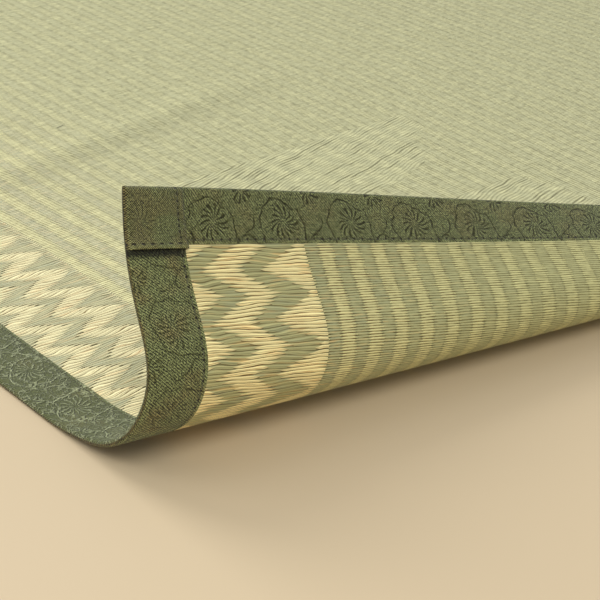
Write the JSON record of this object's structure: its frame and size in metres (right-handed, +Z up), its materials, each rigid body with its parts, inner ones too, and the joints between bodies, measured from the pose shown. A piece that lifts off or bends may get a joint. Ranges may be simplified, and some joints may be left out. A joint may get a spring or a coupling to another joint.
{
  "type": "rush grass carpet",
  "caption": "Woven rush floor carpet with a zigzag border, fading stripes and olive cloth binding, laid flat with a corner folded back.",
  "frame": {"origin": "centre of the carpet's outline, on the surface it lies on", "axes": "+X along the rush strands, +Y along the woven stripes, +Z up; the folded corner is at -X, -Y"},
  "size_m": [1.74, 1.74, 0.1436],
  "materials": {
    "woven_rush": "smooth dry plant stalks with a faint sheen, pale sage and straw, woven in ribs",
    "binding_tape": "matt dark olive twill tape with a woven flower and vine figure"
  },
  "bodies": {
    "root": {"rush_mat": "woven_rush", "side_binding_left": "binding_tape", "side_binding_right": "binding_tape", "end_binding_front": "binding_tape", "end_binding_back": "binding_tape"}
  },
  "joints": []
}
